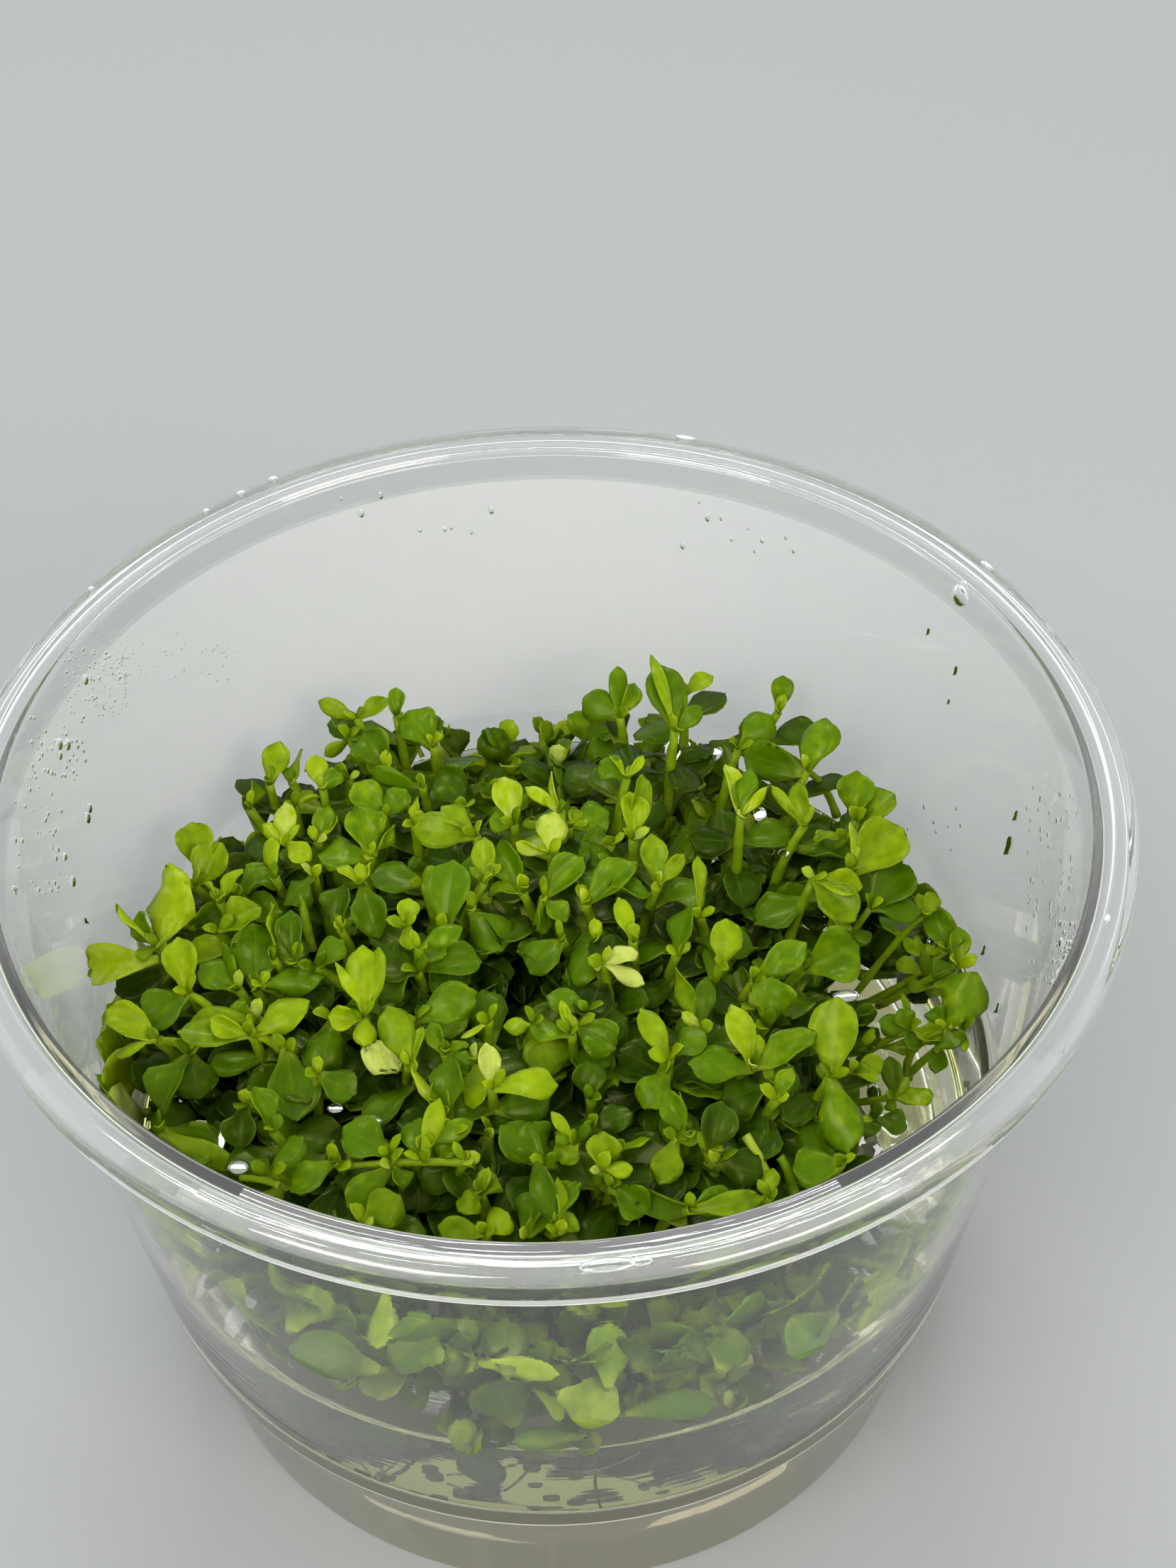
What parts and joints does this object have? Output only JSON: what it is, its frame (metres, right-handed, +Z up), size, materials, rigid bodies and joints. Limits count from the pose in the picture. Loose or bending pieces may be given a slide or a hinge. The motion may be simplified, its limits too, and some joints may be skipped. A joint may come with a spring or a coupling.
{
  "type": "potted pearlweed clump",
  "caption": "Clump of pearlweed with small round leaves standing in shallow water in a clear round plastic cup with a flanged rim and a hollow foot.",
  "frame": {"origin": "on the table, under the middle of the cup's foot", "axes": "+Z up along the cup's axis; -Y towards the side that the picture was taken from"},
  "size_m": [0.1022, 0.1022, 0.074],
  "materials": {
    "clear_plastic": "clear moulded plastic, glossy",
    "water": "still water with a faint yellow-green tint",
    "roots_and_stems": "wet tangled stems and roots",
    "leaf": "fresh satin leaf, light shows through"
  },
  "bodies": {
    "root": {"cup": "clear_plastic", "water": "water", "root_mat": "roots_and_stems", "shoot_01": "leaf", "shoot_02": "leaf", "shoot_03": "leaf", "shoot_04": "leaf", "shoot_05": "leaf", "shoot_06": "leaf", "shoot_07": "leaf", "shoot_08": "leaf", "shoot_09": "leaf", "shoot_10": "leaf", "shoot_11": "leaf", "shoot_12": "leaf", "shoot_13": "leaf", "shoot_14": "leaf", "shoot_15": "leaf", "shoot_16": "leaf", "shoot_17": "leaf", "shoot_18": "leaf", "shoot_19": "leaf", "shoot_20": "leaf", "shoot_21": "leaf", "shoot_22": "leaf", "shoot_23": "leaf", "shoot_24": "leaf", "shoot_25": "leaf", "shoot_26": "leaf", "shoot_27": "leaf", "shoot_28": "leaf", "shoot_29": "leaf", "shoot_30": "leaf", "shoot_31": "leaf", "shoot_32": "leaf", "shoot_33": "leaf", "shoot_34": "leaf"}
  },
  "joints": []
}
